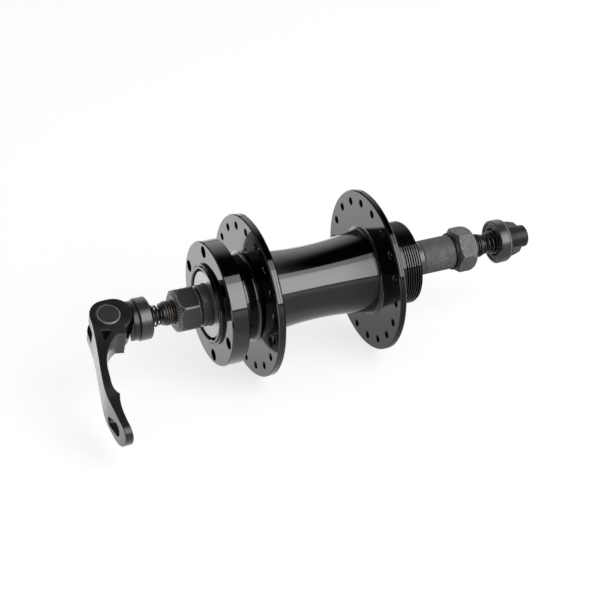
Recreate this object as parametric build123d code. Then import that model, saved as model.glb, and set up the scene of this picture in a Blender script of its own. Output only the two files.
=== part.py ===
from build123d import *
from math import atan, cos, pi, radians, sin, sqrt
import os

# Rear disc hub for a bicycle, with its quick release skewer.
# Millimetres. +Y runs along the axle to the freewheel side, +Z is up, and the origin is on the
# axle's axis, halfway between the outer faces of the two locknuts.

# Axle and what is screwed on it
over_locknut = 135.0
axle_stub = 5.0
axle_radius = 5.0
axle_bore_radius = 2.8
axle_pitch = 1.0
axle_thread_depth = 0.45
screwed_clearance = 0.03
nut_across_flats = 17.0
nut_corner_trim = 0.2
nut_face_break = 1.25
nut_outer_chamfer = 2.6
nut_inner_chamfer = 1.45
locknut_left_length = 10.2
locknut_right_length = 8.8
locknut_left_corner_deg = 59.5
locknut_right_corner_deg = 23.5
washer_left_thickness = 0.5
washer_left_radius = 7.6
washer_right_thickness = 1.2
washer_right_radius = 7.9
spacer_radius = 7.2
spacer_edge = 0.25

# Loose ball bearings, one row at each end of the shell
ball_radius = 3.175
ball_count = 9
ball_row_radius = 10.0
ball_clearance = 0.15
ball_depth_left = 5.7
ball_depth_right = 5.3
cup_radius = 14.55
cup_wall = 1.15
cup_floor = 1.3
cup_bore_radius = 8.6
cup_rim = 3.8
cone_radius = 8.5
cone_nose_radius = 6.6
cone_nose_length = 1.4
cone_flats_across = 15.0
cone_flats_start = 4.8
cone_flats_deg = 80.5
cone_collar_radius = 7.3
cone_collar_start = 3.7
cone_right_reach = 6.8
dust_cap_thickness = 0.5
dust_cap_recess = 0.7
dust_cap_gap = 0.75
dust_cap_right_recess = 0.2
seal_gap = 0.35

# Hub shell, left to right
rotor_face_setback = 15.6
lip_height = 1.7
lip_radius = 16.85
lip_front_width = 1.1
lip_step = 0.6
lip_groove_width = 0.4
lip_groove_depth = 0.35
boss_thickness = 7.4
rotor_bolt_circle = 22.0
rotor_bolt_radius = 2.5
rotor_bolt_count = 6
rotor_bolt_deg = -71.0
rotor_bolt_rim = 1.35
neck_radius = 17.6
neck_length = 8.9
flange_radius = 33.8
flange_left_thickness = 3.2
flange_right_thickness = 2.75
flange_edge = 0.45
spoke_hole_radius = 1.4
spoke_hole_rim = 3.24
spoke_hole_break = 0.35
spoke_count = 18
spoke_left_deg = -58.45
spoke_right_deg = -68.3
drill_overrun = 1.0
root_fillet = 1.9
body_end_radius = 17.45
body_waist_radius = 15.35
tube_bore_radius = 12.0
cup_shoulder_radius = 9.6
cup_shoulder_length = 2.0
thread_end_setback = 31.2
thread_length = 8.0
thread_radius = 17.4
thread_pitch = 1.058
thread_depth = 0.55
thread_ridges = 7
shoulder_radius = 17.6
shoulder_length = 7.87

# Quick release skewer
rod_radius = 2.5
rod_pitch = 0.8
rod_thread_depth = 0.35
rod_thread_length = 24.0
rod_past_pivot = 2.9
rod_running_clearance = 0.3
end_gap_left = 5.7
end_gap_right = 5.7
face_gap = 0.05

# Lever side cup, its collar and the cam seat
lever_cup_radius = 8.75
lever_cup_length = 5.2
lever_cup_edge = 0.3
lever_cup_face_edge = 0.5
lever_collar_radius = 8.1
lever_collar_length = 2.9
lever_collar_edge = 0.35
seat_radius = 7.9
seat_stem_radius = 6.5
seat_head = 2.1
seat_saddle_radius = 14.0
seat_valley = 1.05
cam_clearance = 0.2

# Lever and its pivot
lever_plane_deg = 67.5
lever_reach = 56.5
lever_bow = 13.1
head_radius = 7.2
cam_offset = 2.35
back_offset = 0.35
cam_end_deg = -72.0
head_half_width = 7.5
arm_half_width = 5.2
paddle_half_width = 7.1
lobe_reach = 10.2
lobe_offset = 4.1
bump_reach = 37.2
bump_offset = 7.95
slot_half_width = 3.1
slot_depth = 3.2
slot_back_depth = 4.6
pivot_radius = 4.85
pivot_clearance = 0.05
pivot_edge = 0.35
tip_hole_radius = 3.1
tip_hole_small_radius = 2.2
tip_hole_inset = 8.5
tip_hole_length = 5.4
tip_hole_slant = 2.8
window_reach = 8.3
window_offset = 4.1
window_size = 3.3
window_corner_radius = 0.5

# Adjusting nut side
nut_cup_radius = 9.25
nut_cup_length = 4.3
nut_cup_rim = 1.15
nut_cup_edge = 0.35
nut_cup_web = 0.2
nut_cup_groove = 0.7
nut_cup_groove_depth = 0.5
nut_cup_teeth = 24
nut_tooth_width = 0.5
nut_tooth_inset = 0.3
nut_washer_radius = 9.0
nut_washer_thickness = 0.6
nut_washer_edge = 0.15
nut_flange_radius = 8.6
nut_flange_thickness = 0.5
nut_barrel_radius = 4.7
nut_length = 10.5
nut_wing_length = 7.6
nut_wing_radius = 7.8
nut_wing_tip_radius = 6.6
nut_wing_thickness = 4.6
nut_dimple_radius = 0.6
nut_edge = 0.4
nut_face_deg = 57.0
nut_thread_clearance = 0.05
nut_insert_radius = 3.5
nut_insert_length = 1.6
nut_insert_inset = 0.3
rod_end_inset = 1.2

# Conical springs
spring_recess_radius = 6.0
spring_recess_depth = 3.0
wire_radius = 0.45
spring_small_radius = 3.55
spring_large_radius = 5.3
spring_turns = 4.5
spring_seat_gap = 0.08

# Places along the axle, and radii, worked out from the sizes above
axle_length = over_locknut + 2 * axle_stub
boss_radius = rotor_bolt_circle + rotor_bolt_radius + rotor_bolt_rim
spoke_circle = flange_radius - spoke_hole_radius - spoke_hole_rim
left_nut_face = -over_locknut / 2
left_nut_back = left_nut_face + locknut_left_length
cone_left_end = left_nut_back + washer_left_thickness
rotor_face = left_nut_face + rotor_face_setback
ball_left = rotor_face + ball_depth_left
right_nut_face = over_locknut / 2
right_nut_back = right_nut_face - locknut_right_length
spacer_end = right_nut_back - washer_right_thickness
thread_end = right_nut_face - thread_end_setback
ball_right = thread_end - ball_depth_right
cone_right_end = thread_end + cone_right_reach
axle_left = -axle_length / 2
axle_right = axle_length / 2
lip_front = rotor_face - lip_height
boss_back = rotor_face + boss_thickness
flange_left_out = boss_back + neck_length
flange_left_in = flange_left_out + flange_left_thickness
thread_start = thread_end - thread_length
flange_right_out = thread_start - shoulder_length
flange_right_in = flange_right_out - flange_right_thickness
lever_cup_face = axle_left - end_gap_left
lever_cup_back = lever_cup_face - lever_cup_length
collar_back = lever_cup_back - lever_collar_length
valley = collar_back + seat_valley
pivot_y = valley - cam_clearance - head_radius - cam_offset
nut_cup_face = axle_right + end_gap_right
nut_cup_back = nut_cup_face + nut_cup_length
nut_washer_back = nut_cup_back + nut_washer_thickness
nut_start = nut_washer_back + face_gap
nut_end = nut_start + nut_length
rod_end = nut_end - rod_end_inset
rod_bore = rod_radius + rod_running_clearance
screwed_bore = axle_radius + screwed_clearance
groove_radius = ball_radius + ball_clearance
nut_radius = nut_across_flats / 2 / cos(pi / 6)

# The lever swings about an axis that leans up from the ground
pivot_axis = Vector(cos(radians(lever_plane_deg)), 0, sin(radians(lever_plane_deg)))
lever_side = Plane(origin=(0, pivot_y, 0), x_dir=(0, 1, 0), z_dir=pivot_axis)
lever_plan = Plane(origin=(0, pivot_y, 0), x_dir=pivot_axis, z_dir=(0, 1, 0))


def across(y, turn_deg=0):
    """Plane square to the axle: its own x points up, turned by turn_deg towards +X."""
    turn = radians(turn_deg)
    return Plane(origin=(0, y, 0), x_dir=(sin(turn), 0, cos(turn)), z_dir=(0, 1, 0))


def turned(points):
    """Solid of revolution about the axle from an outline of (radius, y) points."""
    return revolve(make_face(Polyline(*points, close=True)), axis=Axis.Y)


def ring(inner, outer, low, high, edge=0.0):
    """Plain ring about the axle, with its two outer edges broken."""
    points = [(inner, low), (outer - edge, low), (outer, low + edge)]
    points += [(outer, high - edge), (outer - edge, high), (inner, high)]
    if edge == 0:
        points = [(inner, low), (outer, low), (outer, high), (inner, high)]
    return turned(points)


def ridges(start, count, crest, depth, pitch):
    """Outline points of a row of thread ridges with flat crests."""
    points = []
    for turn in range(count):
        y = start + turn * pitch
        points.append((crest - depth, y + 0.05 * pitch))
        points.append((crest, y + 0.36 * pitch))
        points.append((crest, y + 0.64 * pitch))
        points.append((crest - depth, y + 0.95 * pitch))
    return points


def holes(y_low, y_high, count, circle, radius, first_deg):
    """Round holes on a circle about the axle."""
    length = y_high - y_low + 2 * drill_overrun
    pins = []
    for index in range(count):
        plane = across(y_low - drill_overrun, first_deg + index * 360 / count)
        pins.append(extrude(plane * Pos(circle, 0) * Circle(radius), amount=length))
    return pins


def hole_breaks(y, direction, count, circle, radius, size, first_deg):
    """Small cones that break the edge of each hole at one face."""
    cones = []
    for index in range(count):
        plane = across(y, first_deg + index * 360 / count)
        place = plane * Pos(circle, 0, -direction * size / 2)
        if direction > 0:
            cones.append(place * Cone(radius, radius + size, size))
        else:
            cones.append(place * Cone(radius + size, radius, size))
    return cones


def ball_groove(y):
    """The round track that the balls of one row run in."""
    return across(y) * Torus(ball_row_radius, groove_radius)


def outward(row, side, points):
    """Outline points given by radius and distance outward from a ball row."""
    return [(radius, row + side * reach) for radius, reach in points]


# Axle: hollow steel rod, threaded where it shows at both ends
def make_axle():
    root = axle_radius - axle_thread_depth
    shown_left = int((left_nut_face - axle_left - axle_thread_depth) / axle_pitch)
    shown_right = int((axle_right - right_nut_face - axle_thread_depth) / axle_pitch)
    start_left = left_nut_face - shown_left * axle_pitch
    points = [(axle_bore_radius, axle_left), (root, axle_left)]
    points += ridges(start_left, shown_left, axle_radius, axle_thread_depth, axle_pitch)
    points += [(axle_radius, left_nut_face + axle_thread_depth)]
    points += [(axle_radius, right_nut_face - axle_thread_depth)]
    points += ridges(right_nut_face, shown_right, axle_radius, axle_thread_depth, axle_pitch)
    points += [(root, axle_right), (axle_bore_radius, axle_right)]
    return turned(points)


# Locknut: hexagon with its corners turned off, more at its outer end
def make_locknut(face, back, corner_deg):
    way = 1 if back > face else -1
    face_radius = nut_across_flats / 2 - nut_face_break
    crest = nut_radius - nut_corner_trim
    shoulder = face_radius + 0.7 * (crest - face_radius)
    outline = [(screwed_bore, face), (face_radius, face)]
    outline += [(shoulder, face + way * 0.4 * nut_outer_chamfer)]
    outline += [(crest, face + way * nut_outer_chamfer), (crest, back - way * nut_inner_chamfer)]
    outline += [(face_radius, back), (screwed_bore, back)]
    hexagon = across(face, corner_deg) * RegularPolygon(nut_radius, 6, major_radius=True)
    return extrude(hexagon, amount=back - face) & turned(outline)


# Cone: ball race, spanner flats or collar, and a bore that fits the axle
def make_cone_left():
    reach = ball_left - cone_left_end
    points = [(screwed_bore, -cone_nose_length), (cone_nose_radius, -cone_nose_length)]
    points += [(cone_nose_radius, 0), (cone_radius, ball_radius / 2)]
    points += [(cone_radius, reach - flange_edge), (cone_radius - flange_edge, reach)]
    points += [(screwed_bore, reach)]
    cone = turned(outward(ball_left, -1, points)) - ball_groove(ball_left)
    flats_length = reach - cone_flats_start
    for turn_deg in (cone_flats_deg, cone_flats_deg + 180):
        place = across(cone_left_end, turn_deg) * Pos(cone_flats_across / 2 + cone_radius, 0)
        cone -= place * extrude(Rectangle(2 * cone_radius, 4 * cone_radius), amount=flats_length)
    return cone


def make_cone_right():
    reach = cone_right_end - ball_right
    points = [(screwed_bore, -cone_nose_length), (cone_nose_radius, -cone_nose_length)]
    points += [(cone_nose_radius, 0), (cone_radius, ball_radius / 2)]
    points += [(cone_radius, cone_collar_start), (cone_collar_radius, cone_collar_start)]
    points += [(cone_collar_radius, reach - flange_edge), (cone_collar_radius - flange_edge, reach)]
    points += [(screwed_bore, reach)]
    return turned(outward(ball_right, 1, points)) - ball_groove(ball_right)


# Bearing cup: hardened race pressed into the shell
def make_bearing_cup(row, side):
    floor = -(groove_radius + cup_floor)
    points = [(cup_bore_radius, floor), (cup_radius, floor), (cup_radius, cup_rim)]
    points += [(cup_radius - cup_wall, cup_rim), (cup_radius - cup_wall, 0), (cup_bore_radius, 0)]
    return turned(outward(row, side, points)) - ball_groove(row)


# Dust cap: thin disc with a rim that stands on the bearing cup
def make_dust_cap(row, side, front, hole_radius):
    outer = cup_radius - dust_cap_gap
    inner = cup_radius - cup_wall
    back = front - dust_cap_thickness
    points = [(hole_radius, back), (inner, back), (inner, cup_rim), (outer, cup_rim)]
    points += [(outer, front - dust_cap_thickness / 2), (outer - dust_cap_thickness / 2, front)]
    points += [(hole_radius, front)]
    return turned(outward(row, side, points))


# Ball row: loose balls, evenly spread
def make_balls(row):
    balls = []
    for index in range(ball_count):
        place = across(row, index * 360 / ball_count) * Pos(ball_row_radius, 0)
        balls.append(place * Sphere(ball_radius))
    return Compound(balls)


# Hub shell: one turned aluminium body with rotor boss, two flanges and freewheel thread
def root_arc(radius, face, side):
    """Fillet from a round face of that radius out to a flange's face, side being its way along y."""
    turn = root_fillet * (1 - sin(pi / 4))
    foot = (radius, face + side * root_fillet)
    return ThreePointArc(foot, (radius + turn, face + side * turn), (radius + root_fillet, face))


def flange_rim(low, high, foot_low, foot_high):
    """Outline of a flange from its lower face to its upper one, with its rim's edges broken."""
    rim = [(foot_low, low), (flange_radius - flange_edge, low), (flange_radius, low + flange_edge)]
    rim += [(flange_radius, high - flange_edge), (flange_radius - flange_edge, high)]
    return Polyline(*rim, (foot_high, high))


def make_hub_shell():
    front = cup_radius + lip_front_width
    groove = front + 0.6 * lip_groove_width
    boss = [
        (cup_radius, lip_front + flange_edge),
        (cup_radius + 0.8 * flange_edge, lip_front),
        (front, lip_front),
        (front + 0.4 * lip_groove_width, lip_front + lip_step),
        (groove, lip_front + lip_step + lip_groove_depth),
        (groove + lip_groove_width, lip_front + lip_step + lip_groove_depth),
        (groove + 1.2 * lip_groove_width, lip_front + lip_step),
        (lip_radius - 0.4 * lip_groove_width, lip_front + lip_step),
        (lip_radius, lip_front + 1.4 * lip_step),
        (lip_radius, rotor_face),
        (boss_radius - flange_edge, rotor_face),
        (boss_radius, rotor_face + flange_edge),
        (boss_radius, boss_back - flange_edge),
        (boss_radius - flange_edge, boss_back),
        (neck_radius + flange_edge, boss_back),
        (neck_radius, boss_back + flange_edge),
        (neck_radius, flange_left_out - root_fillet),
    ]
    middle = (flange_left_in + flange_right_in) / 2
    neck_foot = neck_radius + root_fillet
    body_foot = body_end_radius + root_fillet
    shoulder_foot = shoulder_radius + root_fillet
    body = ThreePointArc(
        (body_end_radius, flange_left_in + root_fillet),
        (body_waist_radius, middle),
        (body_end_radius, flange_right_in - root_fillet),
    )
    thread = [(shoulder_radius, flange_right_out + root_fillet), (shoulder_radius, thread_start)]
    thread += ridges(thread_start, thread_ridges, thread_radius, thread_depth, thread_pitch)
    floor = groove_radius + cup_floor
    shoulder = floor + cup_shoulder_length
    slope = tube_bore_radius - cup_shoulder_radius
    bore = [
        (thread_radius - thread_depth, thread_end),
        (cup_radius + 0.8 * flange_edge, thread_end),
        (cup_radius, thread_end - flange_edge),
        (cup_radius, ball_right - floor),
        (cup_shoulder_radius, ball_right - floor),
        (cup_shoulder_radius, ball_right - shoulder),
        (tube_bore_radius, ball_right - shoulder - slope),
        (tube_bore_radius, ball_left + shoulder + slope),
        (cup_shoulder_radius, ball_left + shoulder),
        (cup_shoulder_radius, ball_left + floor),
        (cup_radius, ball_left + floor),
        (cup_radius, lip_front + flange_edge),
    ]
    outline = Polyline(*boss)
    outline += root_arc(neck_radius, flange_left_out, -1)
    outline += flange_rim(flange_left_out, flange_left_in, neck_foot, body_foot)
    outline += root_arc(body_end_radius, flange_left_in, 1)
    outline += body
    outline += root_arc(body_end_radius, flange_right_in, -1)
    outline += flange_rim(flange_right_in, flange_right_out, body_foot, shoulder_foot)
    outline += root_arc(shoulder_radius, flange_right_out, 1)
    outline += Polyline(*thread, *bore)
    shell = revolve(make_face(outline), axis=Axis.Y)
    cuts = holes(
        rotor_face, boss_back, rotor_bolt_count, rotor_bolt_circle, rotor_bolt_radius,
        rotor_bolt_deg,
    )
    flanges = (
        (flange_left_out, flange_left_in, spoke_left_deg),
        (flange_right_in, flange_right_out, spoke_right_deg),
    )
    for low, high, first_deg in flanges:
        cuts += holes(low, high, spoke_count, spoke_circle, spoke_hole_radius, first_deg)
        for y, direction in ((low, -1), (high, 1)):
            cuts += hole_breaks(
                y, direction, spoke_count, spoke_circle, spoke_hole_radius, spoke_hole_break,
                first_deg,
            )
    return shell - cuts


# Skewer rod: plain steel rod with a rolled thread at the nut's end
def make_skewer_rod():
    count = int(rod_thread_length / rod_pitch)
    start = rod_end - count * rod_pitch
    points = [(0, pivot_y - rod_past_pivot), (rod_radius, pivot_y - rod_past_pivot)]
    points += [(rod_radius, start)]
    points += ridges(start, count, rod_radius, rod_thread_depth, rod_pitch)
    points += [(0, rod_end)]
    return turned(points)


# Pivot barrel: cross pin that the rod is screwed into and the lever turns on
def make_pivot_barrel():
    half = head_half_width + 3 * face_gap
    barrel = lever_side * Cylinder(pivot_radius, 2 * half)
    barrel = chamfer(barrel.edges(), pivot_edge)
    length = 2 * pivot_radius
    hole = across(pivot_y - rod_past_pivot) * extrude(
        Circle(rod_radius + screwed_clearance), amount=length
    )
    return barrel - hole


# Lever: forked cam head, thin bowed arm and a wider tip with a hole through it
def along_lever(places):
    """Side outline points from shares of the lever's bow and reach."""
    return [(-bow * lever_bow, -reach * lever_reach) for bow, reach in places]


def make_lever():
    cam_end = (
        cam_offset + head_radius * cos(radians(cam_end_deg)),
        head_radius * sin(radians(cam_end_deg)),
    )
    back = along_lever([(0.65, 0.175), (0.82, 0.39), (0.93, 0.53), (1.0, 0.672), (0.972, 0.81)])
    tip = along_lever([(0.945, 0.92), (0.9, 1.02), (0.66, 1.02), (0.7, 0.96)])
    paddle = along_lever([(0.728, 0.862), (0.705, 0.739)])
    arm = along_lever([(0.7, 0.575), (0.665, 0.503), (0.59, 0.39), (0.43, 0.287), (0.2, 0.2135)])
    bump = (-bump_offset, -bump_reach)
    root = (0.17 * lobe_offset, -0.93 * lobe_reach)
    lobe = (lobe_offset, -lobe_reach)
    outline = Line((-back_offset, head_radius), (cam_offset, head_radius))
    outline += CenterArc((-back_offset, 0), head_radius, 90, 90)
    outline += Spline((-back_offset - head_radius, 0), *back, tip[0], tip[1])
    outline += Line(tip[1], tip[2])
    outline += Spline(tip[2], tip[3], *paddle, bump)
    outline += Spline(bump, *arm, root)
    outline += Line(root, lobe)
    outline += Line(lobe, cam_end)
    outline += CenterArc((cam_offset, 0), head_radius, cam_end_deg, 90 - cam_end_deg)
    side = extrude(lever_side * make_face(outline), amount=2 * head_half_width, both=True)
    head_top = -2 * head_radius
    near_side = [
        (head_half_width, 0.03 * lever_reach), (0.93 * head_half_width, 0.1 * lever_reach),
        (0.81 * head_half_width, 0.18 * lever_reach), (1.05 * arm_half_width, 0.28 * lever_reach),
        (arm_half_width, 0.42 * lever_reach), (0.87 * paddle_half_width, 0.61 * lever_reach),
        (paddle_half_width, 0.76 * lever_reach),
    ]
    far_side = [(-wide, reach) for wide, reach in reversed(near_side)]
    plan = Line((-head_half_width, head_top), (head_half_width, head_top))
    plan += Line((head_half_width, head_top), near_side[0])
    plan += Spline(*near_side, tangents=[(0, 1), (0, 1)])
    rounding = [
        (wide * paddle_half_width, reach * lever_reach)
        for wide, reach in (
            (1, 0.9), (0.87, 0.97), (0.45, 0.998), (0, 0.992), (-0.45, 0.963), (-0.82, 0.9),
            (-1, 0.8),
        )
    ]
    plan += Line(near_side[-1], rounding[0])
    plan += ThreePointArc(*rounding[0:3])
    plan += ThreePointArc(*rounding[2:5])
    plan += ThreePointArc(*rounding[4:7])
    plan += Line(rounding[6], far_side[0])
    plan += Spline(*far_side, tangents=[(0, -1), (0, -1)])
    plan += Line(far_side[-1], (-head_half_width, head_top))
    lever = side & extrude(lever_plan * make_face(plan), amount=2 * lever_bow, both=True)
    lever -= lever_side * Cylinder(pivot_radius + pivot_clearance, 4 * head_half_width)
    slot = Polyline(
        (-3 * head_radius, 2 * head_radius), (3 * head_radius, 2 * head_radius),
        (3 * head_radius, -slot_depth), (-pivot_radius / 2, -slot_depth),
        (-pivot_radius, -slot_back_depth), (-3 * head_radius, -slot_back_depth), close=True,
    )
    lever -= extrude(lever_side * make_face(slot), amount=slot_half_width, both=True)
    window = make_face(
        Polyline(
            (-window_offset - 0.3 * window_size, -window_reach + 0.6 * window_size),
            (-window_offset + 0.95 * window_size, -window_reach + 0.3 * window_size),
            (-window_offset - 0.4 * window_size, -window_reach - window_size), close=True,
        )
    )
    window = fillet(window.vertices(), window_corner_radius)
    lever -= extrude(lever_side * window, amount=2 * head_half_width, both=True)
    far_round = Pos(0, lever_reach - tip_hole_inset) * Circle(tip_hole_radius)
    near_round = Pos(-tip_hole_slant, -tip_hole_length) * Circle(tip_hole_small_radius)
    near_round = Pos(0, lever_reach - tip_hole_inset) * near_round
    tip_hole = make_hull((far_round + near_round).edges())
    lever -= extrude(lever_plan * tip_hole, amount=2 * lever_bow, both=True)
    return lever


# Hollow that the cam rolls in, cut across the seat and its collar
def saddle():
    centre = valley - seat_saddle_radius - pivot_y
    return lever_side * Pos(centre, 0) * Cylinder(seat_saddle_radius, 4 * seat_radius)


# Lever side cup, collar and black cam seat, one behind the other on the rod
def make_lever_cup():
    points = [(rod_bore, lever_cup_back), (lever_cup_radius - lever_cup_edge, lever_cup_back)]
    points += [(lever_cup_radius, lever_cup_back + lever_cup_edge)]
    points += [(lever_cup_radius, lever_cup_face - lever_cup_face_edge)]
    points += [(lever_cup_radius - lever_cup_face_edge, lever_cup_face)]
    points += [(spring_recess_radius, lever_cup_face)]
    points += [(spring_recess_radius, lever_cup_face - spring_recess_depth)]
    points += [(rod_bore, lever_cup_face - spring_recess_depth)]
    return turned(points)


def make_lever_collar():
    collar = ring(
        seat_stem_radius, lever_collar_radius, collar_back, lever_cup_back, lever_collar_edge
    )
    return collar - saddle()


def make_cam_seat():
    points = [(rod_bore, collar_back - seat_head), (seat_radius, collar_back - seat_head)]
    points += [(seat_radius, collar_back), (seat_stem_radius, collar_back)]
    points += [(seat_stem_radius, lever_cup_back), (rod_bore, lever_cup_back)]
    return turned(points) - saddle()


# Nut side cup: rim, groove and a ring of small teeth round the spring's recess
def make_nut_cup():
    groove_out = nut_cup_radius - nut_cup_rim
    groove_in = groove_out - nut_cup_groove
    floor = nut_cup_face + spring_recess_depth
    points = [(rod_bore, floor), (spring_recess_radius, floor)]
    web = nut_cup_face + nut_cup_web
    points += [(spring_recess_radius, web), (groove_in, web)]
    points += [(groove_in + nut_cup_web / 2, nut_cup_face + nut_cup_groove_depth)]
    points += [(groove_out - nut_cup_web / 2, nut_cup_face + nut_cup_groove_depth)]
    points += [(groove_out, nut_cup_face), (nut_cup_radius - nut_cup_edge, nut_cup_face)]
    points += [(nut_cup_radius, nut_cup_face + nut_cup_edge)]
    points += [(nut_cup_radius, nut_cup_back - nut_cup_edge)]
    points += [(nut_cup_radius - nut_cup_edge, nut_cup_back)]
    points += [(rod_bore, nut_cup_back)]
    cup = turned(points)
    teeth = []
    for index in range(nut_cup_teeth):
        place = across(web, index * 360 / nut_cup_teeth)
        place = place * Pos(spring_recess_radius, 0) * Rot(45, 0, 0)
        length = 2 * (groove_in - spring_recess_radius - nut_tooth_inset)
        teeth.append(place * Box(length, nut_tooth_width, nut_tooth_width))
    return cup - teeth


# Adjusting nut: flange, barrel and two finger wings cut from a cone
def make_adjusting_nut():
    bore = rod_radius + nut_thread_clearance
    wing_end = nut_start + nut_wing_length
    barrel = [(bore, nut_start), (nut_flange_radius, nut_start)]
    barrel += [(nut_flange_radius, nut_start + nut_flange_thickness)]
    barrel += [(nut_barrel_radius, nut_start + 2 * nut_flange_thickness)]
    barrel += [(nut_barrel_radius, nut_end - nut_edge), (nut_barrel_radius - nut_edge, nut_end)]
    barrel += [(nut_insert_radius, nut_end), (nut_insert_radius, nut_end - nut_insert_length)]
    barrel += [(bore, nut_end - nut_insert_length)]
    cone = [(bore, nut_start + nut_flange_thickness)]
    cone += [(nut_wing_radius, nut_start + nut_flange_thickness)]
    cone += [(0.6 * nut_wing_radius + 0.4 * nut_wing_tip_radius, nut_start + 0.5 * nut_wing_length)]
    cone += [(nut_wing_tip_radius, nut_start + 0.8 * nut_wing_length)]
    cone += [(nut_barrel_radius + nut_edge, wing_end - nut_edge / 2)]
    cone += [(nut_barrel_radius, wing_end), (bore, wing_end)]
    slab = across(nut_start, nut_face_deg) * extrude(
        Rectangle(nut_wing_thickness, 4 * nut_wing_radius), amount=nut_length
    )
    nut = turned(barrel) + (turned(cone) & slab)
    dimple = across(nut_start + 0.5 * nut_wing_length, nut_face_deg) * Rot(0, 90, 0)
    return nut - dimple * Pos(0, 0, nut_barrel_radius) * Cylinder(nut_dimple_radius, nut_edge)


# Conical spring: one wire, laid in quarter turns of two joined arcs each
def arc_pair(start, start_way, end, end_way):
    span = end - start
    ways = start_way + end_way
    bend = 2 * (1 - start_way.dot(end_way))
    reach = (-span.dot(ways) + sqrt(span.dot(ways) ** 2 + bend * span.dot(span))) / bend
    out = start + start_way * reach
    back = end - end_way * reach
    joint = (out + back) * 0.5
    arcs = []
    for first, corner, last in ((start, out, joint), (joint, back, end)):
        middle = (first + last) * 0.5
        rise = (corner - middle).length
        half = (last - first).length / 2
        sag = half * sin(atan(rise / half) / 2) / cos(atan(rise / half) / 2)
        arcs.append(ThreePointArc(first, middle + (corner - middle) * (sag / rise), last))
    return arcs


def make_spring(name, y_small, y_large):
    quarters = int(4 * spring_turns)
    rise = (y_large - y_small) / quarters
    growth = (spring_large_radius - spring_small_radius) / quarters

    def place(step):
        angle = step * pi / 2
        radius = spring_small_radius + growth * step
        return Vector(radius * sin(angle), y_small + rise * step, radius * cos(angle))

    def way(step):
        angle = step * pi / 2
        radius = spring_small_radius + growth * step
        turn = Vector(cos(angle), 0, -sin(angle)) * (radius * pi / 2)
        drift = Vector(growth * sin(angle), rise, growth * cos(angle))
        return (turn + drift).normalized()

    edges = []
    for step in range(quarters):
        edges += arc_pair(place(step), way(step), place(step + 1), way(step + 1))
    lead_in = Line(place(0) - way(0) * (2 * wire_radius), place(0))
    lead_out = Line(place(quarters), place(quarters) + way(quarters) * (2 * wire_radius))
    path = Wire([lead_in.edge()] + [arc.edge() for arc in edges] + [lead_out.edge()])
    section = Plane(origin=path @ 0, z_dir=path % 0) * Circle(wire_radius)
    spring = sweep(section, path=path)
    steps = 24 * quarters
    points = [place(index * quarters / steps) for index in range(steps + 1)]
    least = min(
        (points[one] - points[two]).length
        for one in range(0, steps + 1, 2)
        for two in range(one + 48, steps + 1)
    )
    print(name, "least gap between turns", round(least - 2 * wire_radius, 3), "mm")
    return spring


left_front = ball_depth_left + lip_height - dust_cap_recess
right_front = ball_depth_right - dust_cap_right_recess
seat_left = axle_left - spring_seat_gap - wire_radius
seat_right = axle_right + spring_seat_gap + wire_radius
floor_left = lever_cup_face - spring_recess_depth + spring_seat_gap + wire_radius
floor_right = nut_cup_face + spring_recess_depth - spring_seat_gap - wire_radius

parts = {
    "axle": make_axle(),
    "cone_left": make_cone_left(),
    "cone_right": make_cone_right(),
    "lock_washer_left": ring(screwed_bore, washer_left_radius, left_nut_back, cone_left_end),
    "locknut_left": make_locknut(left_nut_face, left_nut_back, locknut_left_corner_deg),
    "spacer_right": ring(screwed_bore, spacer_radius, cone_right_end, spacer_end, spacer_edge),
    "lock_washer_right": ring(screwed_bore, washer_right_radius, spacer_end, right_nut_back),
    "locknut_right": make_locknut(right_nut_face, right_nut_back, locknut_right_corner_deg),
    "hub_shell": make_hub_shell(),
    "bearing_cup_left": make_bearing_cup(ball_left, -1),
    "bearing_cup_right": make_bearing_cup(ball_right, 1),
    "dust_cap_left": make_dust_cap(ball_left, -1, left_front, cone_radius + seal_gap),
    "dust_cap_right": make_dust_cap(ball_right, 1, right_front, cone_collar_radius + seal_gap),
    "balls_left": make_balls(ball_left),
    "balls_right": make_balls(ball_right),
    "skewer_rod": make_skewer_rod(),
    "pivot_barrel": make_pivot_barrel(),
    "quick_release_lever": make_lever(),
    "lever_cup": make_lever_cup(),
    "lever_cup_collar": make_lever_collar(),
    "cam_seat": make_cam_seat(),
    "nut_cup": make_nut_cup(),
    "nut_washer": ring(
        rod_bore, nut_washer_radius, nut_cup_back, nut_washer_back, nut_washer_edge
    ),
    "adjusting_nut": make_adjusting_nut(),
    "nut_locking_ring": ring(
        rod_radius + nut_thread_clearance, nut_insert_radius, nut_end - nut_insert_length,
        nut_end - nut_insert_inset,
    ),
    "spring_left": make_spring("spring_left", seat_left, floor_left),
    "spring_right": make_spring("spring_right", seat_right, floor_right),
}

os.makedirs("parts", exist_ok=True)
for node, shape in parts.items():
    export_step(shape, "parts/" + node + ".step")
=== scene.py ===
import math

import bpy
from mathutils import Matrix, Vector


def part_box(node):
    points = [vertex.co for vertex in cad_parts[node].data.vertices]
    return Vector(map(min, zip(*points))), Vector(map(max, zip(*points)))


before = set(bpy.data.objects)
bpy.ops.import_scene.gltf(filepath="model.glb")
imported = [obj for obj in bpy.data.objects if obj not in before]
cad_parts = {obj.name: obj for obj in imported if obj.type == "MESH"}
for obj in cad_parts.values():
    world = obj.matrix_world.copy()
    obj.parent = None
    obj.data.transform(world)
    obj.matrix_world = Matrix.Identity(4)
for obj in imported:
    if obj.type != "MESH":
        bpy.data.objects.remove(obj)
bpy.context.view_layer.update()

# Hub shell: one forged and turned body of aluminium alloy with the rotor boss, both flanges and
# the freewheel thread. It is anodised gloss black over the fine rings that the lathe leaves, and
# those rings are deeper near the thread.


def shader_of(finish):
    return finish.node_tree.nodes["Principled BSDF"]


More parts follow.
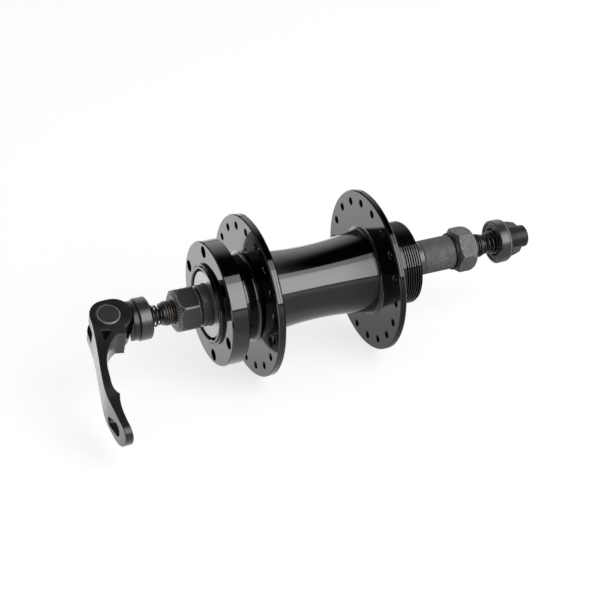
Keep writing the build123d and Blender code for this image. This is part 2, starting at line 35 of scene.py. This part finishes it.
def set_inputs(node, **values):
    """Sets a node's inputs to numbers, named as they are in Blender with _ for each space."""
    for name, value in values.items():
        node.inputs[name.replace("_", " ")].default_value = value


def new_finish(name, metallic=0.0, ior=1.5):
    """A material whose even values sit on its one shader."""
    finish = bpy.data.materials.new(name)
    finish.use_nodes = True
    set_inputs(shader_of(finish), Metallic=metallic, IOR=ior)
    return finish


def add_node(finish, kind, **settings):
    """A node in a material, or in the room."""
    node = finish.node_tree.nodes.new("ShaderNode" + kind)
    for name, value in settings.items():
        setattr(node, name, value)
    return node


def feed(finish, socket, value):
    """Sets an input to a number or a colour, or joins an output to it."""
    if isinstance(value, bpy.types.NodeSocket):
        finish.node_tree.links.new(value, socket)
    else:
        socket.default_value = value


def work_out(finish, operation, *values):
    node = add_node(finish, "Math", operation=operation)
    for socket, value in zip(node.inputs, values):
        feed(finish, socket, value)
    return node.outputs[0]


def times(finish, first, second):
    return work_out(finish, "MULTIPLY", first, second)


def position(finish):
    """Where a point lies on the object: its X, Y and Z. Y runs along the axle."""
    split = add_node(finish, "SeparateXYZ")
    feed(finish, split.inputs[0], add_node(finish, "TexCoord").outputs["Object"])
    return split.outputs


def axle_distance(finish):
    """How far a point lies from the axle's middle line."""
    place = position(finish)
    squares = [times(finish, place[axis], place[axis]) for axis in "XZ"]
    return work_out(finish, "SQRT", work_out(finish, "ADD", *squares))


def grain(finish, size, detail=3.0):
    """Soft irregular patches of about that size, in metres, from 0 to 1."""
    noise = add_node(finish, "TexNoise")
    feed(finish, noise.inputs["Vector"], add_node(finish, "TexCoord").outputs["Object"])
    set_inputs(noise, Scale=1 / size, Detail=detail, Roughness=0.55)
    return noise.outputs["Fac"]


def between(finish, share, low, high):
    """Grades a share onto the range from low to high."""
    node = add_node(finish, "MapRange")
    feed(finish, node.inputs["Value"], share)
    set_inputs(node, To_Min=low, To_Max=high)
    return node.outputs["Result"]


def sharpen(finish, value, start, end):
    """0 before start, 1 after end, and smooth between them."""
    node = add_node(finish, "MapRange", interpolation_type="SMOOTHSTEP")
    feed(finish, node.inputs["Value"], value)
    set_inputs(node, From_Min=start, From_Max=end)
    return node.outputs["Result"]


def past(finish, value, limit, blur):
    """0 before the limit and 1 after it, with a soft step as wide as the blur on each side."""
    return sharpen(finish, value, limit - blur, limit + blur)


def shade(finish, share, colour_a, colour_b):
    """From the first colour to the second as the share grows."""
    node = add_node(finish, "Mix", data_type="RGBA")
    feed(finish, node.inputs["Factor"], share)
    for socket, colour in ((node.inputs["A"], colour_a), (node.inputs["B"], colour_b)):
        is_output = isinstance(colour, bpy.types.NodeSocket)
        feed(finish, socket, colour if is_output else (*colour, 1))
    return node.outputs["Result"]


def relief(finish, height, depth, under=None):
    """Raises the surface by up to depth, in metres."""
    node = add_node(finish, "Bump")
    set_inputs(node, Distance=depth)
    feed(finish, node.inputs["Height"], height)
    if under is not None:
        feed(finish, node.inputs["Normal"], under)
    return node.outputs["Normal"]


def finish_shader(finish, colour=None, roughness=None, normal=None):
    given = (("Base Color", colour), ("Roughness", roughness), ("Normal", normal))
    for name, value in given:
        if value is not None:
            feed(finish, shader_of(finish).inputs[name], value)


def ripple(finish, value, pitch):
    """A wave along that value, from -1 to 1."""
    return work_out(finish, "SINE", times(finish, value, 2 * math.pi / pitch))


def turned_rings(finish, pitch):
    """Rings that a lathe leaves, on round faces and on flat ones, from 0 to 1."""
    along = work_out(finish, "ADD", position(finish)["Y"], axle_distance(finish))
    return work_out(finish, "MULTIPLY_ADD", ripple(finish, along, pitch), 0.5, 0.5)


def dress(finish, *nodes):
    """Gives the finish to pieces that keep their own shape."""
    for name in nodes:
        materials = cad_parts[name].data.materials
        materials.clear()
        materials.append(finish)


shell_ring_pitch, shell_ring_depth, deepest_ring = 0.00062, 0.0000016, 2.6
rings_deepen, rings_deepest = -0.004, 0.016
cloud_size, pore_size, pore_height = 0.009, 0.0006, 0.25
thread_start, thread_crest_radius = 0.0282, 0.01735
flange_rim_radius, rim_line_pitch = 0.03365, 0.00095
body_line_dulling, rim_line_dulling, thread_root_dulling = 0.24, 0.75, 0.9
deep_black, pale_black = (0.0008, 0.0008, 0.0009), (0.0018, 0.0018, 0.0019)
# The thread's crests take a lighter grey, a painted highlight for the thin bright lines along
# them.
thread_crest_highlight_grey = (0.012, 0.012, 0.012)
full_shine = 0.5

black_anodised = new_finish("black_anodised", ior=1.55)
cloud = grain(black_anodised, cloud_size)
along_axle = position(black_anodised)["Y"]
radius = axle_distance(black_anodised)

near_thread = sharpen(black_anodised, along_axle, rings_deepen, rings_deepest)
ring_height = times(
    black_anodised, turned_rings(black_anodised, shell_ring_pitch),
    between(black_anodised, near_thread, 1.0, deepest_ring),
)
pores = grain(black_anodised, pore_size, detail=2.0)
height = work_out(black_anodised, "MULTIPLY_ADD", pores, pore_height, ring_height)

on_thread = past(black_anodised, along_axle, thread_start, 0.0001)
at_crest = past(black_anodised, radius, thread_crest_radius, 0.00003)
below_crest = work_out(black_anodised, "SUBTRACT", 1.0, at_crest)
thread_root = times(black_anodised, on_thread, below_crest)
thread_crest = work_out(black_anodised, "SUBTRACT", on_thread, thread_root)
plain_black = shade(black_anodised, cloud, deep_black, pale_black)
finish_shader(
    black_anodised,
    colour=shade(black_anodised, thread_crest, plain_black, thread_crest_highlight_grey),
    roughness=between(black_anodised, cloud, 0.055, 0.095),
    normal=relief(black_anodised, height, shell_ring_depth),
)

# The lathe's grooves on the body and on the flange rims, and the thread's roots, reflect less.
rim_wave = ripple(black_anodised, along_axle, rim_line_pitch)
rim_lines = times(
    black_anodised, past(black_anodised, radius, flange_rim_radius, 0.00005),
    sharpen(black_anodised, rim_wave, 0.5, 0.9),
)
on_body = work_out(black_anodised, "SUBTRACT", near_thread, on_thread)
body_lines = times(black_anodised, on_body, ring_height)
grooves = work_out(
    black_anodised, "MULTIPLY_ADD", body_lines, body_line_dulling,
    times(black_anodised, rim_lines, rim_line_dulling),
)
dull = work_out(
    black_anodised, "MAXIMUM", grooves, times(black_anodised, thread_root, thread_root_dulling)
)
shine = shader_of(black_anodised).inputs["Specular IOR Level"]
feed(black_anodised, shine, between(black_anodised, dull, full_shine, 0.0))
dress(black_anodised, "hub_shell")

# Bearing cups, balls and dust caps: hardened steel races pressed into the shell's two ends,
# nine polished balls in each, and thin stamped caps over them. The left cap is bare and bright.
race_ring_pitch, race_ring_depth = 0.0004, 0.0000015
cap_ring_pitch, cap_ring_depth, stamping_height = 0.0005, 0.000002, 0.8

race_steel = new_finish("race_steel", metallic=1.0)
finish_shader(
    race_steel,
    colour=shade(
        race_steel, grain(race_steel, size=0.004), (0.16, 0.155, 0.15), (0.28, 0.275, 0.27)
    ),
    roughness=between(race_steel, grain(race_steel, size=0.002), 0.22, 0.38),
    normal=relief(race_steel, turned_rings(race_steel, race_ring_pitch), race_ring_depth),
)
dress(race_steel, "bearing_cup_left", "bearing_cup_right")

ball_steel = new_finish("ball_steel", metallic=1.0)
finish_shader(
    ball_steel,
    colour=shade(
        ball_steel, grain(ball_steel, size=0.002), (0.42, 0.41, 0.40), (0.56, 0.56, 0.56)
    ),
    roughness=between(ball_steel, grain(ball_steel, size=0.001), 0.04, 0.11),
)
dress(ball_steel, "balls_left", "balls_right")

bright_cap = new_finish("bright_cap", metallic=0.75)
stamping = grain(bright_cap, size=0.0008)
rings = turned_rings(bright_cap, cap_ring_pitch)
height = work_out(bright_cap, "MULTIPLY_ADD", stamping, stamping_height, rings)
finish_shader(
    bright_cap,
    colour=shade(
        bright_cap, grain(bright_cap, size=0.005), (0.32, 0.325, 0.325), (0.40, 0.40, 0.395)
    ),
    roughness=between(bright_cap, grain(bright_cap, size=0.003), 0.26, 0.42),
    normal=relief(bright_cap, height, cap_ring_depth),
)
dress(bright_cap, "dust_cap_left")

# Axle: a hollow steel rod with a cut thread at each end. Its dark oxide has gone a little brown
# at the left, the crests are rubbed brighter, and the roots hold dirt and oil.
oil_patch, pit_size, pit_depth = 0.0016, 0.0005, 0.00003


def thread_oxide(name, root_radius, crest_radius, colours, far_colours, roughness):
    """Dark thread, with its root, flank and crest colours at the near end and at the far one."""
    finish = new_finish(name, ior=1.36)
    far_end = past(finish, position(finish)["Y"], 0.0, 0.03)
    dirt, plain, crest = (
        shade(finish, far_end, near, far) for near, far in zip(colours, far_colours)
    )
    up = sharpen(finish, axle_distance(finish), root_radius, crest_radius)
    patches = grain(finish, oil_patch, detail=4.0)
    worn = times(finish, sharpen(finish, up, 0.75, 1.0), sharpen(finish, patches, 0.42, 0.6))
    finish_shader(
        finish,
        colour=shade(finish, worn, shade(finish, up, dirt, plain), crest),
        roughness=between(finish, patches, roughness - 0.08, roughness + 0.14),
        normal=relief(finish, grain(finish, pit_size, detail=4.0), pit_depth),
    )
    return finish


brown_thread = thread_oxide(
    "brown_thread", root_radius=0.00458, crest_radius=0.00495, roughness=0.36,
    colours=((0.008, 0.006, 0.005), (0.030, 0.023, 0.019), (0.12, 0.105, 0.095)),
    far_colours=((0.002, 0.002, 0.002), (0.010, 0.009, 0.009), (0.055, 0.052, 0.05)),
)
dress(brown_thread, "axle")

# Cones, lock washers and spacer: turned steel with a black oxide finish. The left cone has
# spanner flats and the right one a plain collar. A long spacer carries the right locknut clear
# of the thread. Pale streaks along the spacer, on its side toward the lamps, are scratches in
# shape and painted highlight in where they lie.


def worn_and_highlit_edges(finish, reach, start=0.01, end=0.09):
    """The strip along edges, worn on some pieces and a painted highlight on others, and the
    surface with soft edges.
    """
    bevel = add_node(finish, "Bevel", samples=6)
    set_inputs(bevel, Radius=reach)
    product = add_node(finish, "VectorMath", operation="DOT_PRODUCT")
    feed(finish, product.inputs[0], bevel.outputs["Normal"])
    feed(finish, product.inputs[1], add_node(finish, "NewGeometry").outputs["Normal"])
    turn = work_out(finish, "SUBTRACT", 1.0, product.outputs["Value"])
    return sharpen(finish, turn, start, end), bevel.outputs["Normal"]


def edge_share(finish, worn, specks, start, end, edge_fullness):
    """The edge strip, broken up by specks. A fuller strip leaves fewer gaps."""
    closing = 0.3 * edge_fullness
    return times(finish, worn, sharpen(finish, specks, start - closing, end - closing))


oxide_patch, oxide_speck = 0.0032, 0.0007


def oxide_steel(
    name, deep, light, wear_and_highlight, roughness, grit, edge_reach=0.0005, edge_fullness=0.5, ior=1.5,
    uneven=0.085,
):
    """Black oxide on machined steel: cloudy, a little gritty, and paler along its edges, from
    wear, and from painted highlight where the edge colour is bright.
    """
    finish = new_finish(name, ior=ior)
    patches = grain(finish, oxide_patch, detail=4.0)
    specks = grain(finish, oxide_speck)
    worn, soft = worn_and_highlit_edges(finish, edge_reach)
    edge_strip = edge_share(finish, worn, specks, 0.5, 0.85, edge_fullness)
    mixed = work_out(finish, "MULTIPLY_ADD", specks, 0.4, times(finish, patches, 0.6))
    body = shade(finish, sharpen(finish, mixed, 0.36, 0.64), deep, light)
    finish_shader(
        finish,
        colour=shade(finish, edge_strip, body, wear_and_highlight),
        roughness=between(finish, patches, roughness - uneven, roughness + uneven),
        normal=relief(finish, specks, grit, soft),
    )
    return finish


def feeding(finish, name):
    """The output that feeds this input of the shader so far."""
    return shader_of(finish).inputs[name].links[0].from_socket


cone_oxide = oxide_steel(
    "cone_oxide", deep=(0.066, 0.064, 0.062), light=(0.100, 0.097, 0.094),
    wear_and_highlight=(0.30, 0.295, 0.29), roughness=0.32, grit=0.00002,
)
dress(cone_oxide, "cone_left", "cone_right")

# Pale streaks drawn like scratches, kept to the spacer's side toward the lamps, so they are
# partly a painted highlight.
scratch_and_highlight_grey = (0.44, 0.44, 0.43)
streaks_per_metre = (2600, 330, 2600)
streak_side_from, streak_side_to, streak_patch = 0.0045, 0.0066, 0.0035
spacer_oxide = oxide_steel(
    "spacer_oxide", deep=(0.104, 0.104, 0.103), light=(0.135, 0.135, 0.133),
    wear_and_highlight=(0.34, 0.34, 0.33), roughness=0.62, grit=0.00004, edge_fullness=0.7, ior=1.3,
)
drawn = add_node(spacer_oxide, "Mapping")
feed(spacer_oxide, drawn.inputs["Vector"], add_node(spacer_oxide, "TexCoord").outputs["Object"])
set_inputs(drawn, Scale=streaks_per_metre)
strokes = add_node(spacer_oxide, "TexNoise")
feed(spacer_oxide, strokes.inputs["Vector"], drawn.outputs["Vector"])
set_inputs(strokes, Detail=4.0)
facing_side = sharpen(spacer_oxide, position(spacer_oxide)["X"], streak_side_from, streak_side_to)
streaked_side = times(
    spacer_oxide, facing_side,
    sharpen(spacer_oxide, grain(spacer_oxide, streak_patch), 0.42, 0.58),
)
scratch_and_highlight = times(spacer_oxide, streaked_side, sharpen(spacer_oxide, strokes.outputs["Fac"], 0.54, 0.63))
plain = feeding(spacer_oxide, "Base Color")
finish_shader(spacer_oxide, colour=shade(spacer_oxide, scratch_and_highlight, plain, scratch_and_highlight_grey))
dress(spacer_oxide, "spacer_right")

# The lock washers are painted near black as shade, for they sit in shadow between the nuts and
# their neighbours. The cap behind the thread takes the same near black.
washer_shade_oxide = oxide_steel(
    "washer_shade_oxide", deep=(0.006, 0.006, 0.006), light=(0.014, 0.013, 0.013),
    wear_and_highlight=(0.04, 0.04, 0.04), roughness=0.42, grit=0.00003, ior=1.25,
)
dress(washer_shade_oxide, "lock_washer_left", "lock_washer_right", "dust_cap_right")

# Locknuts: two forged steel hexagons that lock the cones. The left one is brown black with a
# serrated end face that bites into the frame, and pale corner lines that are partly worn steel
# and partly painted highlight. The right one is greyer and rougher, with chipped corners.
tooth_depth, tooth_wear_size, tooth_wear = 0.00012, 0.0005, 2.4


def serrate_face(finish, teeth, wear_and_highlight):
    """Radial teeth across the end faces, paler on their worn crests."""
    lie = add_node(finish, "SeparateXYZ")
    feed(finish, lie.inputs[0], add_node(finish, "NewGeometry").outputs["Normal"])
    on_face = sharpen(finish, work_out(finish, "ABSOLUTE", lie.outputs["Y"]), 0.75, 0.9)
    place = position(finish)
    angle = work_out(finish, "ARCTAN2", place["X"], place["Z"])
    wave = ripple(finish, angle, 2 * math.pi / teeth)
    wear = grain(finish, tooth_wear_size)
    uneven = work_out(finish, "MULTIPLY_ADD", wear, tooth_wear, wave)
    crest = times(finish, on_face, sharpen(finish, uneven, 1.1, 1.9))
    tooth_height = times(finish, on_face, wave)
    finish_shader(
        finish,
        colour=shade(finish, crest, feeding(finish, "Base Color"), wear_and_highlight),
        normal=relief(finish, tooth_height, tooth_depth, feeding(finish, "Normal")),
    )


# The bright edge colour here lies along the edges almost without gaps, so it paints a highlight
# on the corners as well as their wear.
left_nut_oxide = oxide_steel(
    "left_nut_oxide", deep=(0.036, 0.034, 0.032), light=(0.043, 0.041, 0.039),
    wear_and_highlight=(0.80, 0.77, 0.73), roughness=0.3, grit=0.000008, edge_fullness=1.3, uneven=0.03,
)
serrate_face(left_nut_oxide, teeth=44, wear_and_highlight=(0.26, 0.25, 0.235))
dress(left_nut_oxide, "locknut_left")

chip_grey, chip_strength, chip_size = (0.42, 0.42, 0.41), 0.5, 0.00042
right_nut_oxide = oxide_steel(
    "right_nut_oxide", deep=(0.075, 0.075, 0.074), light=(0.155, 0.155, 0.152),
    wear_and_highlight=(0.95, 0.95, 0.94), roughness=0.5, grit=0.00014, edge_reach=0.0007, edge_fullness=0.6,
    ior=1.4,
)
chip_grain = grain(right_nut_oxide, chip_size, detail=4.0)
chips = sharpen(right_nut_oxide, chip_grain, 0.57, 0.66)
chip_share = times(right_nut_oxide, chips, chip_strength)
plain = feeding(right_nut_oxide, "Base Color")
finish_shader(right_nut_oxide, colour=shade(right_nut_oxide, chip_share, plain, chip_grey))
dress(right_nut_oxide, "locknut_right")

# Skewer rod: plain steel through the hollow axle, screwed into the lever's pivot, with a rolled
# thread at the nut's end. Dark oxide again, oily in the thread and blacker than the axle.
rod_oxide = thread_oxide(
    "rod_oxide", root_radius=0.00216, crest_radius=0.00246, roughness=0.3,
    colours=((0.004, 0.004, 0.004), (0.022, 0.021, 0.020), (0.12, 0.115, 0.11)),
    far_colours=((0.002, 0.002, 0.002), (0.014, 0.014, 0.014), (0.10, 0.10, 0.10)),
)
dress(rod_oxide, "skewer_rod")

# Conical springs: wound from black music wire, one at each end round the rod. They push the
# quick release's two cups apart while it is open.
oily_black, dry_black = (0.003, 0.003, 0.003), (0.010, 0.010, 0.010)
spring_black = new_finish("spring_black")
finish_shader(
    spring_black,
    colour=shade(spring_black, grain(spring_black, size=0.001), oily_black, dry_black),
    roughness=between(spring_black, grain(spring_black, size=0.0006), 0.2, 0.36),
    normal=relief(spring_black, grain(spring_black, size=0.0003), depth=0.00001),
)
dress(spring_black, "spring_left", "spring_right")

# Quick release cups, collar and nut washer: turned steel in satin black, which slide on the rod
# and clamp the frame. The nut washer's edge is painted bright, as a highlight.
bloom_patch, satin_speck = 0.005, 0.0005
satin_depth, ring_share = 0.000005, 0.4


def satin_black(
    name, deep, light, roughness, ring_pitch, wear_and_highlight=(0.14, 0.14, 0.14), edge_fullness=0.2,
    edge_reach=0.0004, ior=1.5,
):
    """Satin black over turned metal, with a dry bloom and paler edges, from light wear, and from
    painted highlight where the edge colour is bright.
    """
    finish = new_finish(name, ior=ior)
    patches = grain(finish, bloom_patch, detail=4.0)
    specks = grain(finish, satin_speck, detail=2.0)
    worn, soft = worn_and_highlit_edges(finish, edge_reach)
    edge_strip = edge_share(finish, worn, specks, 0.6, 0.9, edge_fullness)
    rings = turned_rings(finish, ring_pitch)
    height = work_out(finish, "MULTIPLY_ADD", rings, ring_share, specks)
    finish_shader(
        finish,
        colour=shade(finish, edge_strip, shade(finish, patches, deep, light), wear_and_highlight),
        roughness=between(finish, patches, roughness - 0.06, roughness + 0.08),
        normal=relief(finish, height, satin_depth, soft),
    )
    return finish


cup_black = satin_black(
    "cup_black", deep=(0.030, 0.030, 0.030), light=(0.044, 0.044, 0.044), roughness=0.24,
    ring_pitch=0.0005,
)
dress(cup_black, "lever_cup", "nut_cup")

collar_black = satin_black(
    "collar_black", deep=(0.014, 0.014, 0.014), light=(0.022, 0.022, 0.022), roughness=0.27,
    ring_pitch=0.0005, ior=1.38,
)
dress(collar_black, "lever_cup_collar")

# The bright edge colour, laid almost without gaps, paints a highlight along the washer's edge.
washer_black = satin_black(
    "washer_black", deep=(0.09, 0.09, 0.09), light=(0.14, 0.14, 0.14), roughness=0.26,
    ring_pitch=0.0003, wear_and_highlight=(0.62, 0.62, 0.61), edge_fullness=1.7,
)
dress(washer_black, "nut_washer")

# Cam seat: a saddle moulded in black plastic, that the cam of the lever rolls on. It sits in
# the lever's cup and keeps metal off metal.
deep_plastic, pale_plastic = (0.004, 0.004, 0.004), (0.009, 0.009, 0.009)
seat_plastic = new_finish("seat_plastic")
mould = grain(seat_plastic, size=0.0009)
finish_shader(
    seat_plastic,
    colour=shade(seat_plastic, grain(seat_plastic, size=0.003), deep_plastic, pale_plastic),
    roughness=between(seat_plastic, mould, 0.4, 0.6),
    normal=relief(seat_plastic, mould, depth=0.00002),
)
dress(seat_plastic, "cam_seat")

# Pivot barrel: the steel cross pin in the lever's head that the rod is screwed into. Its round
# end shows as a grey cap, and its bright rim is a painted highlight.
pivot_grey = satin_black(
    "pivot_grey", deep=(0.036, 0.036, 0.036), light=(0.046, 0.046, 0.046), roughness=0.3,
    ring_pitch=0.0004, wear_and_highlight=(0.75, 0.75, 0.74), edge_fullness=1.8, edge_reach=0.0006,
)
dress(pivot_grey, "pivot_barrel")

# Lever: forged aluminium alloy with a forked cam head, painted satin black. It is a little
# uneven, as a forging is, and rubbed along the edges that a hand meets.
forging_size, forging_depth = 0.006, 0.00003
paint_speck, paint_speck_height = 0.0004, 0.12
hand_reach, hand_wear_size = 0.0007, 0.0012
deep_paint, pale_paint = (0.016, 0.016, 0.0162), (0.023, 0.023, 0.0232)
rubbed_paint = (0.06, 0.06, 0.06)

lever_black = new_finish("lever_black", ior=1.4)
forging = grain(lever_black, forging_size)
specks = grain(lever_black, paint_speck, detail=2.0)
worn, soft = worn_and_highlit_edges(lever_black, hand_reach, start=0.02, end=0.16)
broken = sharpen(lever_black, grain(lever_black, hand_wear_size), 0.5, 0.75)
height = work_out(lever_black, "MULTIPLY_ADD", specks, paint_speck_height, forging)
paint = shade(lever_black, forging, deep_paint, pale_paint)
finish_shader(
    lever_black,
    colour=shade(lever_black, times(lever_black, worn, broken), paint, rubbed_paint),
    roughness=between(lever_black, forging, 0.2, 0.3),
    normal=relief(lever_black, height, forging_depth, soft),
)
dress(lever_black, "quick_release_lever")

# Adjusting nut and its locking ring: die cast with two finger wings, and painted satin black.
# A nylon ring pressed into its outer end grips the rod's thread.
nut_black = satin_black(
    "nut_black", deep=(0.018, 0.018, 0.018), light=(0.028, 0.028, 0.028), roughness=0.36,
    ring_pitch=0.0008, ior=1.27,
)
dress(nut_black, "adjusting_nut")

ring_nylon = new_finish("ring_nylon")
finish_shader(
    ring_nylon,
    colour=shade(
        ring_nylon, grain(ring_nylon, size=0.002), (0.02, 0.02, 0.021), (0.035, 0.035, 0.036)
    ),
    roughness=between(ring_nylon, grain(ring_nylon, size=0.001), 0.42, 0.6),
    normal=relief(ring_nylon, grain(ring_nylon, size=0.0007), depth=0.00002),
)
dress(ring_nylon, "nut_locking_ring")

# Table: a plain pale top that the two flanges stand on. The camera sees it white, with the
# hub's soft shadow. The gloss black pieces mirror it darker on the thread's side than on the
# lever's side, with a step between them under the hub.
table_half = 1.5
table_grey = (0.5, 0.5, 0.5, 1)
seen_glow = 0.74
thread_side, thread_side_level = 0.0, 0.38
lever_side, lever_side_level = -0.17, 1.35
step_start, step_end, step_level = 0.05, 0.02, 0.26
slant_per_y = 1.2

scene = bpy.context.scene
flange_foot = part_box("hub_shell")[0].z
corners = [
    (x * table_half, y * table_half, flange_foot) for x, y in ((-1, -1), (1, -1), (1, 1), (-1, 1))
]
table_mesh = bpy.data.meshes.new("table_top")
table_mesh.from_pydata(corners, [], [(0, 1, 2, 3)])
table_top = bpy.data.objects.new("table_top", table_mesh)
scene.collection.objects.link(table_top)

table_white = bpy.data.materials.new("table_white")
table_white.use_nodes = True
table_white.node_tree.nodes.clear()
top_paint = add_node(table_white, "BsdfDiffuse")
set_inputs(top_paint, Color=table_grey)

# The slant grows from behind the lever's end to the front of the thread's end.
place = position(table_white)
slant = work_out(table_white, "MULTIPLY_ADD", place["Y"], slant_per_y, place["X"])
sides = add_node(table_white, "MapRange")
feed(table_white, sides.inputs["Value"], slant)
set_inputs(
    sides, From_Min=thread_side, From_Max=lever_side,
    To_Min=thread_side_level, To_Max=lever_side_level,
)
stepped = sharpen(table_white, slant, step_start, step_end)
mirrored_level = work_out(
    table_white, "MULTIPLY_ADD", stepped, step_level, sides.outputs["Result"]
)
rays = add_node(table_white, "LightPath").outputs
seen = work_out(table_white, "MAXIMUM", rays["Is Camera Ray"], rays["Is Transmission Ray"])
glow = add_node(table_white, "Emission")
feed(table_white, glow.inputs["Strength"], work_out(
    table_white, "ADD", times(table_white, seen, seen_glow),
    times(table_white, rays["Is Glossy Ray"], mirrored_level),
))
both = add_node(table_white, "AddShader")
feed(table_white, both.inputs[0], top_paint.outputs[0])
feed(table_white, both.inputs[1], glow.outputs[0])

# From below the table is clear, so that it hides nothing.
one_way = add_node(table_white, "MixShader")
from_below = add_node(table_white, "NewGeometry").outputs["Backfacing"]
feed(table_white, one_way.inputs["Fac"], from_below)
feed(table_white, one_way.inputs[1], both.outputs[0])
feed(table_white, one_way.inputs[2], add_node(table_white, "BsdfTransparent").outputs[0])
feed(table_white, add_node(table_white, "OutputMaterial").inputs["Surface"], one_way.outputs[0])
table_top.data.materials.append(table_white)

# Room: white walls to the camera. The gloss black pieces mirror a dark ceiling, a thin dark line
# low on the walls, and walls that darken past the lever's end. The pieces themselves are lit by
# a plain even level.
plain_level, white = 0.42, (1, 1, 1, 1)
pale_wall_level, lever_end_level, lever_end_at = 1.35, 0.3, -0.3
# How high a mirrored direction points, from the horizon at 0 to straight up at 1, and how
# bright the room is there.
wall_steps = (
    (0.0, 0.92), (0.125, 0.92), (0.138, 0.0), (0.172, 0.0), (0.185, 0.95),
    (0.48, 1.0), (0.64, 0.92), (0.765, 0.55), (0.84, 0.14), (0.90, 0.0),
)

room = bpy.data.worlds.new("room")
scene.world = room
room.use_nodes = True
room.node_tree.nodes.clear()

direction = add_node(room, "SeparateXYZ")
feed(room, direction.inputs[0], add_node(room, "TexCoord").outputs["Generated"])
walls = add_node(room, "ValToRGB")
feed(room, walls.inputs["Fac"], direction.outputs["Z"])
ramp = walls.color_ramp.elements
while len(ramp) < len(wall_steps):
    ramp.new(0.5)
for element, (height_up, level) in zip(ramp, wall_steps):
    element.position = height_up
    element.color = (level, level, level, 1)
past_lever = add_node(room, "MapRange")
feed(room, past_lever.inputs["Value"], direction.outputs["Y"])
set_inputs(
    past_lever, From_Max=lever_end_at, To_Min=pale_wall_level, To_Max=lever_end_level
)

even_light = add_node(room, "Background")
set_inputs(even_light, Strength=plain_level)
mirrored = add_node(room, "Background")
feed(room, mirrored.inputs["Color"], walls.outputs["Color"])
feed(room, mirrored.inputs["Strength"], past_lever.outputs["Result"])
white_wall = add_node(room, "Background")
set_inputs(white_wall, Color=white)

rays = add_node(room, "LightPath").outputs
lit_or_mirrored = add_node(room, "MixShader")
feed(room, lit_or_mirrored.inputs["Fac"], rays["Is Glossy Ray"])
feed(room, lit_or_mirrored.inputs[1], even_light.outputs[0])
feed(room, lit_or_mirrored.inputs[2], mirrored.outputs[0])
seen = work_out(room, "MAXIMUM", rays["Is Camera Ray"], rays["Is Transmission Ray"])
all_rays = add_node(room, "MixShader")
feed(room, all_rays.inputs["Fac"], seen)
feed(room, all_rays.inputs[1], lit_or_mirrored.outputs[0])
feed(room, all_rays.inputs[2], white_wall.outputs[0])
feed(room, add_node(room, "OutputWorld").inputs["Surface"], all_rays.outputs[0])

# Lamps: three long soft boxes a metre from the axle. Two show only as the pale bands along the
# gloss black shell, and the third lights every piece and shows in none.
lamp_length, lamp_middle = 0.78, 0.41


def hang_lamp(name, rise_deg, width, radiance):
    """A soft box along the axle, rise_deg forward of straight above it."""
    rise = math.radians(rise_deg)
    lamp = bpy.data.lights.new(name, "AREA")
    lamp.shape = "RECTANGLE"
    lamp.size = lamp_length
    lamp.size_y = width
    lamp.energy = radiance * math.pi * lamp_length * width
    hung = bpy.data.objects.new(name, lamp)
    scene.collection.objects.link(hung)
    side = Vector((0, 1, 0))
    facing = Vector((math.sin(rise), 0, math.cos(rise)))
    turn = Matrix((side, facing.cross(side), facing)).transposed()
    hung.matrix_world = Matrix.Translation(facing + lamp_middle * side) @ turn.to_4x4()
    return hung


hang_lamp("long_lamp", rise_deg=56, width=0.85, radiance=5.8).visible_diffuse = False
hang_lamp("upper_lamp", rise_deg=26, width=0.25, radiance=3.0).visible_diffuse = False
hang_lamp("soft_lamp", rise_deg=49, width=1.1, radiance=2.4).visible_glossy = False

# Camera: a long lens from the lever's side and above, as the hub was photographed. It aims a
# little to the left of the hub's middle and below it, which frames the hub as it was then.
azimuth, elevation = math.radians(65.8), math.radians(29.5)
camera_distance, aim_left, aim_down = 0.7832, 0.01054, 0.00889
lens_mm, sensor_mm = 114.048, 36

view_back = Vector((
    math.sin(azimuth) * math.cos(elevation),
    -math.cos(azimuth) * math.cos(elevation),
    math.sin(elevation),
))
view_right = Vector((math.cos(azimuth), math.sin(azimuth), 0))
view_up = view_back.cross(view_right)
camera_data = bpy.data.cameras.new("camera")
camera_data.lens = lens_mm
camera_data.sensor_width = sensor_mm
camera_data.clip_start = 0.01
camera = bpy.data.objects.new("camera", camera_data)
scene.collection.objects.link(camera)
camera_place = camera_distance * view_back - aim_left * view_right - aim_down * view_up
camera_turn = Matrix((view_right, view_up, view_back)).transposed()
camera.matrix_world = Matrix.Translation(camera_place) @ camera_turn.to_4x4()
scene.camera = camera
scene.view_settings.view_transform = "Standard"
